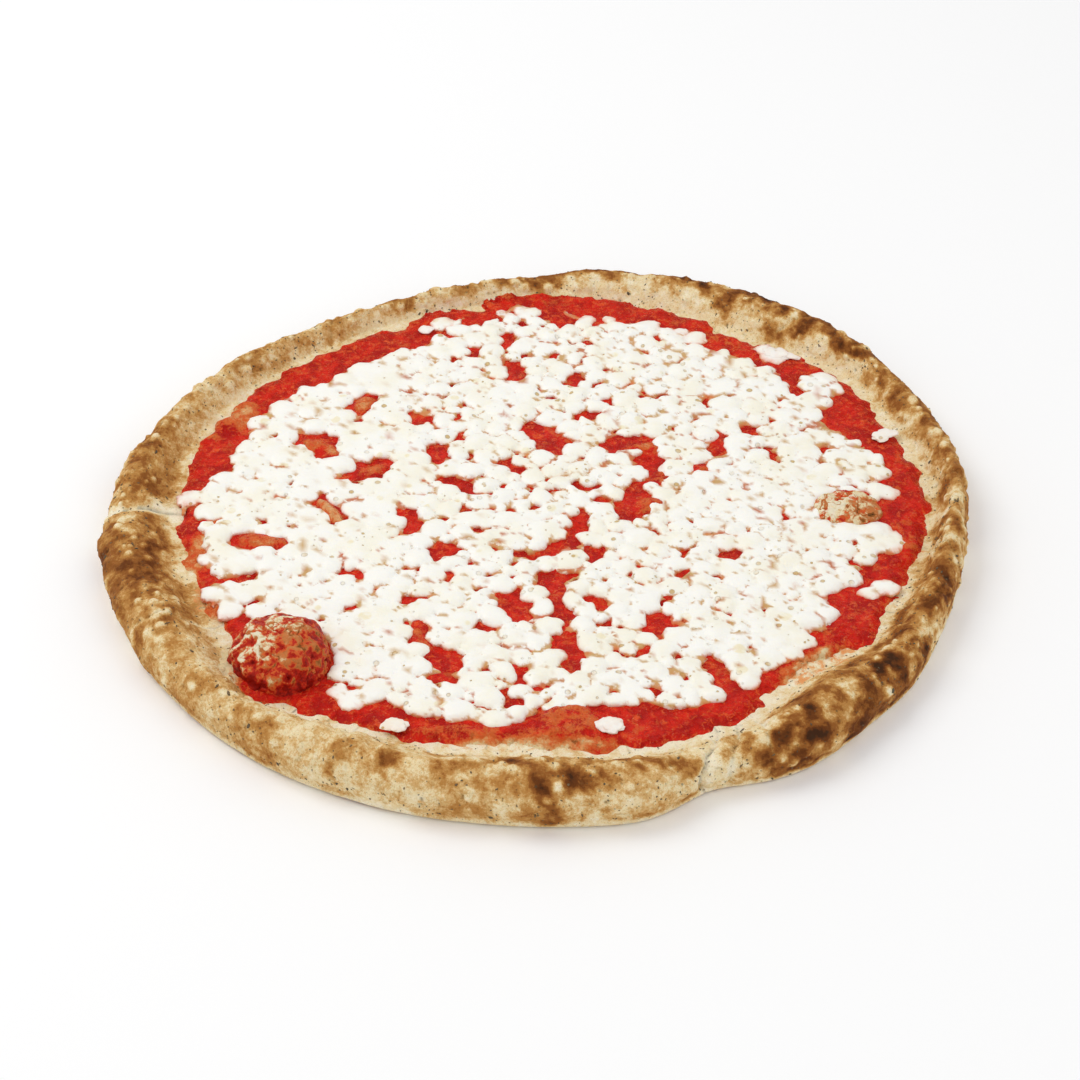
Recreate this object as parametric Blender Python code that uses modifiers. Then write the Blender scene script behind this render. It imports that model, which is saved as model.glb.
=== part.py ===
"""A margherita pizza: a baked dough disc with an uneven raised rim and two blisters, a layer of
tomato sauce in its well, a sheet of melted mozzarella with gaps in it, and a few small pieces of
mozzarella that lie apart from the sheet.

Metres, Z up. The pizza rests on Z = 0, and the origin is under the middle of the disc. Angles are
in degrees, anticlockwise from +X as seen from above.
"""

import math

import bmesh
import bpy
from mathutils import Matrix, Vector

# Driving dimensions.
DISC_RADIUS = 0.150  # mean outer radius of the dough
WELL_RADIUS = 0.1275  # mean radius of the well that holds the sauce
BASE_THICKNESS = 0.0065
CREST_HEIGHT = 0.0168  # mean height of the rim's top
WIDEST_HEIGHT = 0.0072  # where the rim's outer wall bulges out furthest
SAUCE_THICKNESS = 0.0016
SHEET_THICKNESS = 0.0030
SHEET_RADIUS = 0.1155  # mean radius of the mozzarella sheet
GAP = 0.0003  # clearance between neighbouring solids
CREST_SHARE = 0.60  # where the rim's top lies, as a share of the way from the well to the outline
FOOT_SHARE = 0.84  # where the rim meets the ground, likewise
SHEET_ROUNDING = 0.0008
SAUCE_EDGE_INSET = 0.0010  # the sauce stops this far inside the well

# Long waves round the disc: (waves in a turn, height, angle of the first crest times that number).
OUTLINE_WAVES = [(2, 0.0043, 84), (3, 0.0028, 159), (6, 0.0009, 95)]
WELL_WAVES = [(1, 0.0062, 72), (2, 0.0012, 10), (5, 0.0010, 40)]
CREST_WAVES = [(1, 0.0008, 250), (3, 0.0009, 60), (7, 0.0006, 20), (11, 0.0005, 130)]
SHEET_WAVES = [(1, 0.0046, 82), (2, 0.0024, 150), (33, 0.0009, 0), (21, 0.0007, 80)]

# Local swellings and dents round the disc: (angle, spread in degrees, height).
OUTLINE_SWELLS = [(280, 7, 0.0026), (291, 5, -0.0055), (305, 5, 0.0016), (235, 14, 0.0014)]
OUTLINE_SWELLS += [(182, 3, -0.0014), (201, 9, -0.0018), (142, 5, 0.0006), (130, 26, -0.0018)]
OUTLINE_SWELLS += [(323, 6, 0.0008), (357, 8, -0.0010), (25, 14, -0.0018), (50, 9, 0.0010)]
OUTLINE_SWELLS += [(38, 9, -0.0014), (14, 4, -0.0010), (82, 7, 0.0012), (268, 4, 0.0008)]
WELL_SWELLS = [(314, 13, -0.0080), (325, 6, 0.0045), (302, 9, 0.0035), (280, 11, 0.0035)]
WELL_SWELLS += [(251, 10, 0.0055), (229, 11, 0.0085), (187, 9, 0.0022), (167, 10, 0.0026)]
WELL_SWELLS += [(110, 6, 0.0012), (93, 8, 0.0014), (60, 8, -0.0010), (36, 12, 0.0056), (5, 12, 0.0030)]
CREST_SWELLS = [(275, 12, 0.0006), (310, 10, 0.0010), (291, 4, -0.0030), (182, 4, -0.0026)]
CREST_SWELLS += [(162, 9, -0.0014), (130, 26, -0.0026), (109, 6, -0.0020), (95, 6, -0.0012)]
CREST_SWELLS += [(68, 7, 0.0008), (20, 14, -0.0016), (345, 6, 0.0010)]
SHEET_SWELLS = [(13, 5, 0.0080), (26, 5, -0.0050), (35, 5, 0.0100), (62, 14, -0.0055)]
SHEET_SWELLS += [(84, 9, -0.0055), (100, 5, -0.0010), (116, 9, -0.0075), (133, 10, -0.0055)]
SHEET_SWELLS += [(150, 8, 0.0020), (182, 10, 0.0070), (204, 5, 0.0105), (222, 8, -0.0060)]
SHEET_SWELLS += [(272, 6, -0.0090), (281, 5, -0.0060), (297, 4, 0.0030), (333, 4, -0.0060)]
SHEET_SWELLS += [(351, 5, 0.0040)]

BLISTER_UNDERSIDE = 0.25  # depth of a blister's hidden underside, as a share of its rise
BLISTER_SINK = 0.0001  # a blister's widest level lies this far below the well's floor

# Dough blisters that stand through the sauce: (name, middle X, Y, half length, half width, rise
# above the well's floor, direction of the length).
BLISTERS = [
    ("large", -0.0850, -0.0805, 0.0180, 0.0173, 0.0156, 100),
    ("small", 0.1045, -0.0008, 0.0124, 0.0108, 0.0068, 175),
]

# Gaps that bare the sauce inside the sheet: (middle X, Y, half length, half width, direction).
SHEET_GAPS = [
    # Left of the middle.
    (-0.0140, 0.1040, 0.0080, 0.0021, 105),
    (-0.0260, 0.0970, 0.0048, 0.0018, 90),
    (-0.0110, 0.0850, 0.0062, 0.0040, 100),
    (-0.0670, 0.0620, 0.0080, 0.0042, 60),
    (-0.0825, 0.0405, 0.0085, 0.0038, 0),
    (-0.0780, 0.0340, 0.0080, 0.0036, 102),
    (-0.0615, 0.0230, 0.0090, 0.0058, 28),
    (-0.0450, 0.0520, 0.0046, 0.0028, 20),
    (-0.0385, 0.0330, 0.0065, 0.0028, 95),
    (-0.0130, 0.0240, 0.0048, 0.0028, 135),
    (-0.0290, 0.0130, 0.0085, 0.0026, 150),
    (-0.0740, -0.0010, 0.0095, 0.0028, 122),
    (-0.0970, -0.0190, 0.0100, 0.0034, 168),
    (-0.0350, -0.0235, 0.0070, 0.0028, 30),
    (-0.0460, -0.0080, 0.0065, 0.0024, 85),
    (-0.0660, -0.0360, 0.0060, 0.0026, 160),
    (-0.0200, -0.0650, 0.0052, 0.0024, 25),
    (-0.0415, -0.0670, 0.0072, 0.0023, 75),
    (-0.0330, -0.0790, 0.0078, 0.0046, 125),
    (-0.0075, -0.0890, 0.0065, 0.0022, 115),
    # The middle.
    (0.0000, 0.0420, 0.0105, 0.0066, 125),
    (-0.0100, -0.0530, 0.0085, 0.0056, 100),
    (0.0035, -0.0480, 0.0150, 0.0027, 105),
    (0.0080, -0.0760, 0.0100, 0.0044, 105),
    (0.0110, -0.0110, 0.0110, 0.0027, 78),
    (0.0020, -0.0225, 0.0060, 0.0021, 30),
    (0.0170, -0.0250, 0.0052, 0.0029, 90),
    # Right of the middle.
    (0.0110, 0.0790, 0.0042, 0.0024, 85),
    (0.0175, 0.0565, 0.0044, 0.0020, 20),
    (0.0300, 0.0385, 0.0100, 0.0036, 8),
    (0.0380, 0.0240, 0.0110, 0.0044, 102),
    (0.0300, 0.0020, 0.0110, 0.0050, 75),
    (0.0540, 0.0240, 0.0050, 0.0028, 145),
    (0.0625, 0.0380, 0.0070, 0.0028, 80),
    (0.0740, 0.0460, 0.0036, 0.0022, 140),
    (0.0910, 0.0740, 0.0078, 0.0024, 112),
    (0.0370, -0.0630, 0.0068, 0.0040, 82),
    (0.0170, -0.0520, 0.0042, 0.0023, 120),
    (0.0635, -0.0250, 0.0046, 0.0028, 40),
    (0.0560, -0.0870, 0.0080, 0.0028, 112),
]

# Small pieces of mozzarella apart from the sheet: (middle X, Y, half length, half width, direction).
LOOSE_PIECES = [
    (-0.0452, 0.1115, 0.0026, 0.0022, 20),
    (0.0880, 0.0955, 0.0068, 0.0030, 155),
    (0.1215, 0.0430, 0.0052, 0.0030, 25),
    (-0.0470, -0.1120, 0.0045, 0.0028, 170),
    (0.0205, -0.1120, 0.0050, 0.0033, 160),
]
PIECE_THICKNESS = 0.0026
PIECE_UNDERSIDE = 0.4  # depth of a loose piece below its widest level, as a share of its top half

# Facets.
TURN_STEPS = 120
WALL_STEPS = 5
SLOPE_STEPS = 5
OUTLINE_POINTS = 150
GAP_SIDES = 10

DOUGH = ("baked_dough", (0.62, 0.42, 0.20), 0.75)
SAUCE = ("tomato_sauce", (0.50, 0.03, 0.015), 0.30)
CHEESE = ("mozzarella", (0.90, 0.87, 0.76), 0.38)


def clear_scene():
    for obj in list(bpy.data.objects):
        bpy.data.objects.remove(obj)


def make_collection(name):
    collection = bpy.data.collections.new(name)
    bpy.context.scene.collection.children.link(collection)
    return collection


def make_material(name, colour, roughness):
    material = bpy.data.materials.new(name)
    material.use_nodes = True
    shader = material.node_tree.nodes["Principled BSDF"]
    shader.inputs["Base Color"].default_value = (*colour, 1.0)
    shader.inputs["Roughness"].default_value = roughness
    shader.inputs["Metallic"].default_value = 0.0
    return material


def waves(angle, table):
    """The sum of the table's long waves at an angle in radians."""
    return sum(high * math.cos(order * angle - math.radians(crest)) for order, high, crest in table)


def swells(angle, table):
    """The sum of the table's local swellings at an angle in radians."""
    total = 0.0
    for middle, spread, high in table:
        away = (math.degrees(angle) - middle + 180) % 360 - 180
        total += high * math.exp(-((away / spread) ** 2))
    return total


def disc_radius(angle):
    return DISC_RADIUS + waves(angle, OUTLINE_WAVES) + swells(angle, OUTLINE_SWELLS)


def well_radius(angle):
    return WELL_RADIUS + waves(angle, WELL_WAVES) + swells(angle, WELL_SWELLS)


def crest_height(angle):
    return CREST_HEIGHT + waves(angle, CREST_WAVES) + swells(angle, CREST_SWELLS)


def sheet_radius(angle):
    return SHEET_RADIUS + waves(angle, SHEET_WAVES) + swells(angle, SHEET_SWELLS)


def mesh_object(name, mesh, collection, material=None):
    obj = bpy.data.objects.new(name, mesh)
    if material:
        mesh.materials.clear()
        mesh.materials.append(material)
    collection.objects.link(obj)
    return obj


def made_mesh(obj):
    """Replaces an object by a plain mesh object of the shape it evaluates to, with its seams welded."""
    bpy.context.view_layer.update()
    graph = bpy.context.evaluated_depsgraph_get()
    mesh = bpy.data.meshes.new_from_object(obj.evaluated_get(graph))
    mesh.transform(obj.matrix_world)
    name, collection = obj.name, obj.users_collection[0]
    bpy.data.objects.remove(obj)
    shape = bmesh.new()
    shape.from_mesh(mesh)
    bmesh.ops.remove_doubles(shape, verts=shape.verts, dist=1e-6)
    bmesh.ops.recalc_face_normals(shape, faces=shape.faces)
    shape.to_mesh(mesh)
    shape.free()
    return mesh_object(name, mesh, collection)


def turned(name, profile, collection):
    """A closed solid turned about Z. The profile runs from the axis at the top, down the outer
    side, to the axis at the bottom."""
    mesh = bpy.data.meshes.new(name)
    edges = [(i, i + 1) for i in range(len(profile) - 1)]
    mesh.from_pydata([(across, 0.0, high) for across, high in profile], edges, [])
    obj = mesh_object(name, mesh, collection)
    screw = obj.modifiers.new("Screw", "SCREW")
    screw.steps = screw.render_steps = TURN_STEPS
    screw.use_merge_vertices = True
    screw.merge_threshold = 0.00001
    return made_mesh(obj)


def rim_profile():
    """(share, height) points of the dough. A share from 0 to 1 spans the well and from 1 to 2 the
    rim, and the heights are those of a rim with the mean crest."""
    crest_share, foot_share = 1 + CREST_SHARE, 1 + FOOT_SHARE
    points = [(share, BASE_THICKNESS) for share in (0.0, 0.35, 0.70, 0.90, 1.0)]
    rise = CREST_HEIGHT - BASE_THICKNESS
    for step in range(1, SLOPE_STEPS + 1):  # the inner slope, up to the crest
        part = step / SLOPE_STEPS
        climb = math.sin(part * math.pi / 2) ** 1.6
        points.append((1 + CREST_SHARE * part, BASE_THICKNESS + rise * climb))
    for step in range(1, WALL_STEPS + 1):  # over the crest and down to the widest height
        turn = step / WALL_STEPS * math.pi / 2
        across = crest_share + (2 - crest_share) * math.sin(turn)
        points.append((across, WIDEST_HEIGHT + (CREST_HEIGHT - WIDEST_HEIGHT) * math.cos(turn)))
    for step in range(1, WALL_STEPS - 1):  # under the bulge to the foot
        turn = step / (WALL_STEPS - 2) * math.pi / 2
        across = foot_share + (2 - foot_share) * math.cos(turn)
        points.append((across, WIDEST_HEIGHT * (1 - math.sin(turn))))
    return points + [(1.0, 0.0), (0.0, 0.0)]


def stretch_to_pizza(obj, edge_inset=0.0, lift_rim=True):
    """Spreads a unit disc, whose radius is a share, to the uneven well and rim."""
    for vertex in obj.data.vertices:
        share, angle = Vector(vertex.co[:2]).length, math.atan2(vertex.co.y, vertex.co.x)
        well = well_radius(angle) - edge_inset
        across = well * share if share <= 1 else well + (share - 1) * (disc_radius(angle) - well)
        if lift_rim and share > 1 and vertex.co.z > BASE_THICKNESS:
            rise = (crest_height(angle) - BASE_THICKNESS) / (CREST_HEIGHT - BASE_THICKNESS)
            vertex.co.z = BASE_THICKNESS + (vertex.co.z - BASE_THICKNESS) * rise
        vertex.co.x = across * math.cos(angle)
        vertex.co.y = across * math.sin(angle)


def ellipse_frame(x, y, z, length, width, height, direction):
    """The matrix that makes a unit shape that long, wide and high, turned and placed."""
    size = Matrix.Diagonal((length, width, height, 1.0))
    return Matrix.Translation((x, y, z)) @ Matrix.Rotation(math.radians(direction), 4, "Z") @ size


def dome(name, blister, spare, collection):
    """A blister's dome, larger by spare all round, with a shallow underside inside the dough."""
    _, x, y, length, width, rise, direction = blister
    shape = bmesh.new()
    bmesh.ops.create_uvsphere(shape, u_segments=20, v_segments=10, radius=1.0)
    for vertex in shape.verts:
        vertex.co.z *= 1.0 if vertex.co.z > 0 else BLISTER_UNDERSIDE
    sizes = (length + spare, width + spare, rise + spare)
    placed = ellipse_frame(x, y, BASE_THICKNESS - BLISTER_SINK, *sizes, direction)
    bmesh.ops.transform(shape, matrix=placed, verts=shape.verts)
    mesh = bpy.data.meshes.new(name)
    shape.to_mesh(mesh)
    shape.free()
    return mesh_object(name, mesh, collection)


def gap_cutter(name, gap, collection):
    """An upright oval prism through the whole sheet."""
    x, y, length, width, direction = gap
    shape = bmesh.new()
    bmesh.ops.create_cone(
        shape, cap_ends=True, segments=GAP_SIDES, radius1=1.0, radius2=1.0, depth=2.0
    )
    placed = ellipse_frame(x, y, sheet_middle(), length, width, 2 * SHEET_THICKNESS, direction)
    bmesh.ops.transform(shape, matrix=placed, verts=shape.verts)
    mesh = bpy.data.meshes.new(name)
    shape.to_mesh(mesh)
    shape.free()
    return mesh_object(name, mesh, collection)


def sauce_top():
    return BASE_THICKNESS + GAP + SAUCE_THICKNESS


def sheet_middle():
    return sauce_top() + GAP + SHEET_THICKNESS / 2


def hide_as_cutters(collection):
    for obj in collection.objects:
        obj.hide_render = True
        obj.display_type = "WIRE"


def boolean(obj, operation, other=None, collection=None):
    modifier = obj.modifiers.new("Boolean", "BOOLEAN")
    modifier.operation = operation
    modifier.solver = "EXACT"
    if collection:
        modifier.operand_type = "COLLECTION"
        modifier.collection = collection
    else:
        modifier.object = other


def finish_smooth(obj, material, sharp_degrees):
    obj.data.materials.clear()
    obj.data.materials.append(material)
    obj.data.shade_smooth()
    obj.data.set_sharp_from_angle(angle=math.radians(sharp_degrees))


def make_crust(parts, domes, material):
    """The dough: a turned rim and base, stretched to its uneven outline, with its blisters."""
    crust = turned("crust", rim_profile(), parts)
    stretch_to_pizza(crust)
    for blister in BLISTERS:
        boolean(crust, "UNION", dome(f"dome_{blister[0]}", blister, 0.0, domes))
    finish_smooth(crust, material, 50)


def make_sauce(parts, clearances, material):
    """The sauce: a thin disc with a rounded edge in the well, cut round the blisters."""
    low, high = BASE_THICKNESS + GAP, sauce_top()
    middle = (low + high) / 2
    profile = [(0.0, high), (0.5, high), (0.90, high), (0.972, high - 0.0003), (0.99, middle)]
    profile += [(0.975, low), (0.5, low), (0.0, low)]
    sauce = turned("tomato_sauce", profile, parts)
    stretch_to_pizza(sauce, edge_inset=SAUCE_EDGE_INSET, lift_rim=False)
    boolean(sauce, "DIFFERENCE", collection=clearances)
    finish_smooth(sauce, material, 40)


def sheet_outline():
    """The uneven outline of the mozzarella sheet, anticlockwise."""
    angles = [math.tau * step / OUTLINE_POINTS for step in range(OUTLINE_POINTS)]
    return [(sheet_radius(a) * math.cos(a), sheet_radius(a) * math.sin(a)) for a in angles]


def make_sheet(parts, clearances, gaps, material):
    """The mozzarella sheet: its outline, extruded with a rounded edge, with the gaps cut out."""
    curve = bpy.data.curves.new("mozzarella", "CURVE")
    curve.dimensions = "2D"
    curve.fill_mode = "BOTH"
    curve.extrude = SHEET_THICKNESS / 2 - SHEET_ROUNDING
    curve.bevel_depth = SHEET_ROUNDING
    curve.bevel_resolution = 0
    spline = curve.splines.new("POLY")
    outline = sheet_outline()
    spline.points.add(len(outline) - 1)
    for point, (x, y) in zip(spline.points, outline):
        point.co = (x, y, 0.0, 1.0)
    spline.use_cyclic_u = True
    obj = bpy.data.objects.new("mozzarella", curve)
    obj.location.z = sheet_middle()
    parts.objects.link(obj)
    sheet = made_mesh(obj)
    for number, gap in enumerate(SHEET_GAPS):
        gap_cutter(f"gap_{number:02d}", gap, gaps)
    boolean(sheet, "DIFFERENCE", collection=gaps)
    boolean(sheet, "DIFFERENCE", collection=clearances)
    finish_smooth(sheet, material, 30)


def make_loose_piece(number, piece, parts, material):
    """A small melted piece: a flat-bottomed oval pad on the sauce."""
    x, y, length, width, direction = piece
    shape = bmesh.new()
    bmesh.ops.create_uvsphere(shape, u_segments=14, v_segments=8, radius=1.0)
    for vertex in shape.verts:
        vertex.co.z = max(vertex.co.z, -PIECE_UNDERSIDE)
    high = PIECE_THICKNESS / (1 + PIECE_UNDERSIDE)
    drop = high * PIECE_UNDERSIDE
    placed = ellipse_frame(x, y, sauce_top() + GAP + drop, length, width, high, direction)
    bmesh.ops.transform(shape, matrix=placed, verts=shape.verts)
    mesh = bpy.data.meshes.new(f"mozzarella_piece_{number}")
    shape.to_mesh(mesh)
    shape.free()
    finish_smooth(mesh_object(mesh.name, mesh, parts, material), material, 50)


def main():
    clear_scene()
    parts = make_collection("margherita_pizza")
    domes = make_collection("dome_joiners")
    clearances = make_collection("blister_cutters")
    gaps = make_collection("gap_cutters")
    dough, sauce, cheese = (make_material(*entry) for entry in (DOUGH, SAUCE, CHEESE))
    for blister in BLISTERS:
        dome(f"clearance_{blister[0]}", blister, 2 * GAP, clearances)
    make_crust(parts, domes, dough)
    make_sauce(parts, clearances, sauce)
    make_sheet(parts, clearances, gaps, cheese)
    for number, piece in enumerate(LOOSE_PIECES, start=1):
        make_loose_piece(number, piece, parts, cheese)
    for cutters in (domes, clearances, gaps):
        hide_as_cutters(cutters)


main()
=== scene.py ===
"""The looks of the margherita pizza: baked dough, wet tomato sauce and melted mozzarella, built
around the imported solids.

Shapes are worked out in millimetres, as fields on grids, and made into meshes in metres. Angles in the
tables are in degrees, anticlockwise from +X as seen from above. Places are (x, y) from the disc's
middle. An oval is (x, y, half length, half width, direction). A noise's size, in mm, comes before its
seed.
"""

import math
from functools import partial

import bmesh
import bpy
import numpy as np
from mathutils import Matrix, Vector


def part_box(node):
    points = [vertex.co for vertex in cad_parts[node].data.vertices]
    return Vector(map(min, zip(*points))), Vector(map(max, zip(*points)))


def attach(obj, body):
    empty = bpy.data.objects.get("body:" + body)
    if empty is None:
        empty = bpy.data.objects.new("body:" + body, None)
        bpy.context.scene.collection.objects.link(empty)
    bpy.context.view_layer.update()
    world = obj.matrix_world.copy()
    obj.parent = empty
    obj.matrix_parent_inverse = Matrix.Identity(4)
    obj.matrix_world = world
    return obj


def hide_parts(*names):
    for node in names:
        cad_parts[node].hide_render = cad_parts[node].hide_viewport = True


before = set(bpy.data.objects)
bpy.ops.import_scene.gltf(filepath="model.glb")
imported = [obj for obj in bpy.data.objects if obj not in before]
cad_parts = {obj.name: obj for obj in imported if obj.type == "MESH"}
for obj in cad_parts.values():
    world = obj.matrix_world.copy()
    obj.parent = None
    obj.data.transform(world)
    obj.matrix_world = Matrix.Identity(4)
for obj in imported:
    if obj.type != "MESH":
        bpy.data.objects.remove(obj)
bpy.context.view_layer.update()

import openvdb
from mathutils import Vector
from mathutils.bvhtree import BVHTree
from mathutils.kdtree import KDTree

MM = 0.001
RAY_START = 0.1  # m, above everything

# Levels in mm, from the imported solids.
FLOOR_BELOW_SAUCE = 0.3
WELL_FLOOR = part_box("tomato_sauce")[0].z / MM - FLOOR_BELOW_SAUCE
SAUCE_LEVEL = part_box("tomato_sauce")[1].z / MM
CRUST_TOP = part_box("crust")[1].z / MM

# The grids of the cheese and sauce.
CELL = 0.6  # mm between neighbouring points
LAYER = 0.5  # mm between levels
FIELD_HALF = 141.0  # mm from the middle to the grid's edge
FAR_OUTSIDE = 5.0  # mm, the most that a place counts as outside or inside
ADAPTIVITY = 0.30  # how far flat places may have larger faces
SAUCE_ROOT = 0.7  # mm that the sauce goes down into the dough
LOWEST_SAUCE = 3.0
CHEESE_ROOT = 1.2  # mm that the cheese goes down into the sauce
SLOPE_RADII = (105, 137)  # mm between which the sauce may meet the rim's inner slope

# The dough's mesh.
RIM_ANGLES = 1200
RIM_RINGS = 72
INNER_SHARES = (0.3, 0.7, 0.94)  # rings over the well, as shares of the rim's inner edge
BASE_SHARES = (0.97, 0.9, 0.8, 0.65, 0.45, 0.2)  # rings under the base, as shares of its outline
CORE_INSET = 7.5  # mm from the outline in to the middle of the rim's section
CORE_HEIGHT = 7.4
COARSE_ANGLES = 360  # sections read from the solid, with rays out from the core
SECTION_RAYS = 110
FIRST_RAYS = (172, 192, 0.5)  # degrees up from outward: directions tried for the rim's inner foot
LAST_RAY = -88
LONGEST_FOOT_RAY = 40
NUDGE = Vector((1e-4, 1e-4, 1e-4))  # turns a ray that slips between two faces
RIM_RADIUS = 148  # mm, about
SECTION_LENGTH = 60  # mm over the rim from foot to base, about
RIM_BUBBLES = 330
BUBBLE_RADII = (1.2, 2.9)
FLECKS = 2400  # tries at a flake of bran

# Folds and creases across the rim: (angle at the inner edge, at the outer edge, width mm, depth mm,
# how pale it leaves the dough).
RIM_FOLDS = [
    (-64.5, -70.5, 1.3, 1.9, 0.8), (-61.5, -67, 0.9, 1.2, 0.5), (-58.5, -62, 0.8, 0.9, 0.3),
    (180.5, 182.5, 2.2, 1.1, 1.4), (-9, -14.5, 0.9, 0.8, 0), (-25.5, -21, 1.1, 0.8, 0.3),
    (52, 47, 1.2, 0.7, 0), (-118, -113.5, 1.1, 0.5, 0.3), (128, 124.5, 1.2, 0.6, 0),
    (-150, -153, 1.4, 0.6, 0.5), (6.5, 3, 0.8, 1, 0),
]

# How much the rim browns round the disc, above the least: (angle, spread in degrees, strength).
BROWN_LEAST = 0.14
BROWN_ZONES = [
    (190, 24, 0.38), (146, 18, -0.12), (116, 16, 0.14), (82, 18, 0.44), (48, 20, 0.52), (8, 20, 0.23),
    (338, 14, 0.26), (314, 15, 0.34), (290, 4, -0.20), (272, 15, 0.13), (250, 10, -0.06), (226, 16, -0.12),
]

# Browned patches of the rim: an oval, strength.
BROWN_PATCHES = [
    (60, 138, 4.5, 2.6, 80, 1.5), (93, 120, 9, 4, 150, 1.3), (89, 105, 6, 3, 150, 0.9),
    (114, 106, 10, 3.5, 125, 1.2), (82, 129, 8, 3.5, 140, 1.2), (48, 144, 8, 3, 165, 1),
    (25, 146, 9, 2.5, 170, 0.9), (137, 54, 10, 3.5, 105, 0.7), (121, 88, 7, 3.5, 120, 0.5),
    (128, 72, 6, 3, 115, 0.4), (146, 20, 8, 3, 95, 0.4), (132, 27, 6, 4, 90, 0.5),
    (133, 4, 6, 4.5, 100, 0.7), (126, -30, 6, 4, 75, 0.7), (136, -18, 7, 4.5, 85, 0.8),
    (131, -47, 6, 4, 70, 1.1), (126, -57, 6, 4, 65, 0.9), (122, -77, 2.2, 1.6, 60, 3.2),
    (118, -71, 7, 4, 60, 0.8), (112, -86, 9, 4, 55, 1.4), (104, -95, 6, 3.5, 50, 1.2),
    (97, -110, 7, 4.5, 45, 0.9), (89, -102, 6, 4, 50, 0.8), (79, -106, 5, 3, 45, 0.7),
    (76, -124, 10, 4.5, 35, 1.5), (84, -118, 7, 4, 60, 1.3), (62, -130, 7, 5, 30, 0.9),
    (43, -135, 7, 4.5, 15, 1.1), (30, -136, 6, 4, 5, 0.9), (17, -134, 5, 3.5, 10, 1.3),
    (11, -142, 5, 5.5, 100, 1.4), (3, -146, 5, 4, 0, 1.4), (-5, -137, 6, 4, 170, 1.2),
    (-13, -135, 4, 3.5, 0, 1.2), (-27, -139, 4, 5.5, 90, 1), (-47, -134, 4, 3.2, 90, 1.4),
    (-62, -132, 4, 4.5, 90, 1), (-90, -118, 9, 3.5, 135, 0.7), (-106, -101, 9, 3.5, 130, 0.6),
    (-124, -68, 7, 4.5, 115, 0.8), (-131, -51, 8, 4.5, 105, 1.1), (-131, -41, 7, 4.5, 100, 1),
    (-132, -24, 8, 5, 95, 1), (-145, -11, 6, 3.5, 90, 0.8), (-141, -38, 7, 3, 100, 0.6),
    (-143, 15, 7, 4, 85, 1.1), (-137, 8, 6, 4, 70, 0.7), (-141, 31, 6, 4, 70, 1.2),
    (-136, 41, 5, 4, 60, 1.1), (-126, 60, 6, 3.5, 60, 0.7), (-112, 82, 7, 3, 50, 0.9),
    (-101, 91, 6, 3, 45, 0.6), (-81, 116, 9, 3.5, 35, 0.9), (-57, 128, 10, 3, 25, 0.8),
    (-30, 140, 8, 2.5, 15, 0.5),
]

# Dough that shows through thin sauce, as low bumps: an oval, rise, share of dough showing.
SAUCE_BUMPS = [
    (-111, 56, 9, 7, 40, 1.6, 0.60), (-83, 37, 5, 4, 0, 1.6, 0.80), (-76, 33, 3, 5, 10, 1.2, 0.75),
    (-66, 62, 4, 6, -20, 1.4, 0.80), (-61, 22, 6, 4, 30, 0.8, 0.50), (-96, -19, 9, 4, 170, 1.6, 0.70),
    (-74, -3, 9, 3, 122, 2.2, 1.00), (-78, -40, 4, 2, 5, 0.8, 0.65), (7, -110, 10, 8, 10, 1.6, 0.48),
    (5, -107, 3, 2.5, 0, 0.8, 0.85), (-18, -115, 24, 4, 178, 1, 0.35), (84, -82, 10, 5, 48, 1, 0.75),
    (94, -76, 6, 5, 40, 0.9, 0.60), (36, 36, 6, 3, 10, 1.2, 0.65), (37, 1, 5, 6, 60, 1.2, 0.60),
    (42, 18, 3, 6, 0, 0.8, 0.55), (55, 23, 4, 3, 140, 1, 0.55), (64, 40, 2, 5, 0, 0.6, 0.35),
    (-40, -72, 3, 8, 20, 0.8, 0.45), (-20, -106, 4, 3, 60, 1, 0.60), (100, 88, 5, 3, 130, 0.6, 0.40),
    (-120, 48, 4, 8, 0, 0.8, 0.60), (123, -18, 7, 4, 95, 0.8, 0.45), (-113, -47, 3, 8, 15, 0.6, 0.40),
    (123, 12, 3, 6, 0, 0.4, 0.30),
]

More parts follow.
